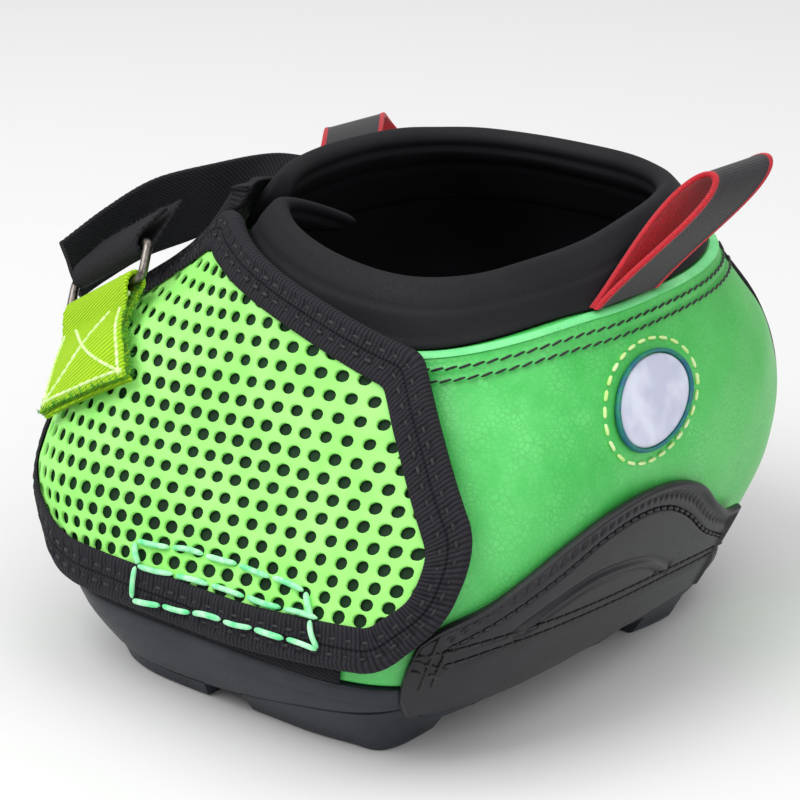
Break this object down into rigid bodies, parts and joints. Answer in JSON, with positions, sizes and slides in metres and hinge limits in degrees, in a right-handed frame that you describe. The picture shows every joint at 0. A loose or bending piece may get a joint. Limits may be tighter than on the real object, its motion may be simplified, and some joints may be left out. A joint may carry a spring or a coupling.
{
  "type": "horse hoof boot",
  "caption": "Low horse hoof boot with a treaded rubber sole pan, padded collar, fold-down front shield, strap ring and webbing closure, pull tabs and round side badges.",
  "frame": {"origin": "on the ground, at the middle of the tread's centre pad, where the boot rests", "axes": "-Z is down into the ground; +Y points to the heel, so the toe is towards -Y; +X is the boot's left side"},
  "size_m": [0.1826, 0.1997, 0.1356],
  "materials": {
    "sole_rubber": "matte slate-black moulded rubber",
    "wing_rubber": "satin black moulded rubber",
    "green_leather": "grained pearl-green synthetic leather",
    "black_neoprene": "black knit-faced neoprene",
    "black_tape": "black ribbed webbing and binding tape",
    "lime_face": "satin lime perforated sheet",
    "lime_webbing": "lime-yellow woven webbing",
    "ring_steel": "dark grey-brown bent wire",
    "red_ribbon": "red ribbon with a black outer face",
    "badge_white": "pearly pale printed disc, plain here",
    "badge_teal": "teal printed ring"
  },
  "bodies": {
    "boot": {"outsole": "sole_rubber", "foot_bed": "black_neoprene", "lining": "black_neoprene", "tongue": "black_neoprene", "heel_panel": "black_neoprene", "left_panel": "green_leather", "right_panel": "green_leather", "left_piping": "black_tape", "right_piping": "black_tape", "left_wing": "wing_rubber", "right_wing": "wing_rubber", "collar": "black_neoprene", "hinge_web": "black_tape", "left_badge_disc": "badge_white", "left_badge_ring": "badge_teal", "right_badge_disc": "badge_white", "right_badge_ring": "badge_teal"},
    "shield": {"shield_pad": "black_neoprene", "shield_face": "lime_face", "shield_binding": "black_tape", "keeper_loop": "lime_webbing"},
    "ring": {"strap_ring": "ring_steel"},
    "strap": {"closure_strap": "black_tape"},
    "hook": {"hook_strip": "black_neoprene"},
    "left_tab": {"left_pull_tab": "red_ribbon"},
    "right_tab": {"right_pull_tab": "red_ribbon"}
  },
  "joints": [
    {"name": "shield_fold", "type": "hinge", "parent": "boot", "child": "shield", "pos_m": [0, -0.09236, 0.027], "axis": [1, 0, 0], "range_deg": [0, 90]},
    {"name": "ring_swing", "type": "hinge", "parent": "shield", "child": "ring", "pos_m": [-0.07261, -0.05268, 0.09297], "axis": [-0.8558, 0.1072, -0.5061], "range_deg": [-25, 10]},
    {"name": "strap_swing", "type": "hinge", "parent": "ring", "child": "strap", "pos_m": [-0.07517, -0.0466, 0.10168], "axis": [-0.8558, 0.1072, -0.5061], "range_deg": [-60, 15]},
    {"name": "hook_peel", "type": "hinge", "parent": "boot", "child": "hook", "pos_m": [-0.06212, 0.01257, 0.112], "axis": [-0.3271, -0.6999, -0.6349], "range_deg": [0, 40]},
    {"name": "left_tab_fold", "type": "hinge", "parent": "boot", "child": "left_tab", "pos_m": [0.0612, -0.00638, 0.10638], "axis": [0.0926, 0.9957, 0.0006], "range_deg": [-8, 60]},
    {"name": "right_tab_fold", "type": "hinge", "parent": "boot", "child": "right_tab", "pos_m": [-0.06356, 0.0209, 0.1064], "axis": [-0.1118, -0.9937, 0], "range_deg": [-35, 30]}
  ]
}
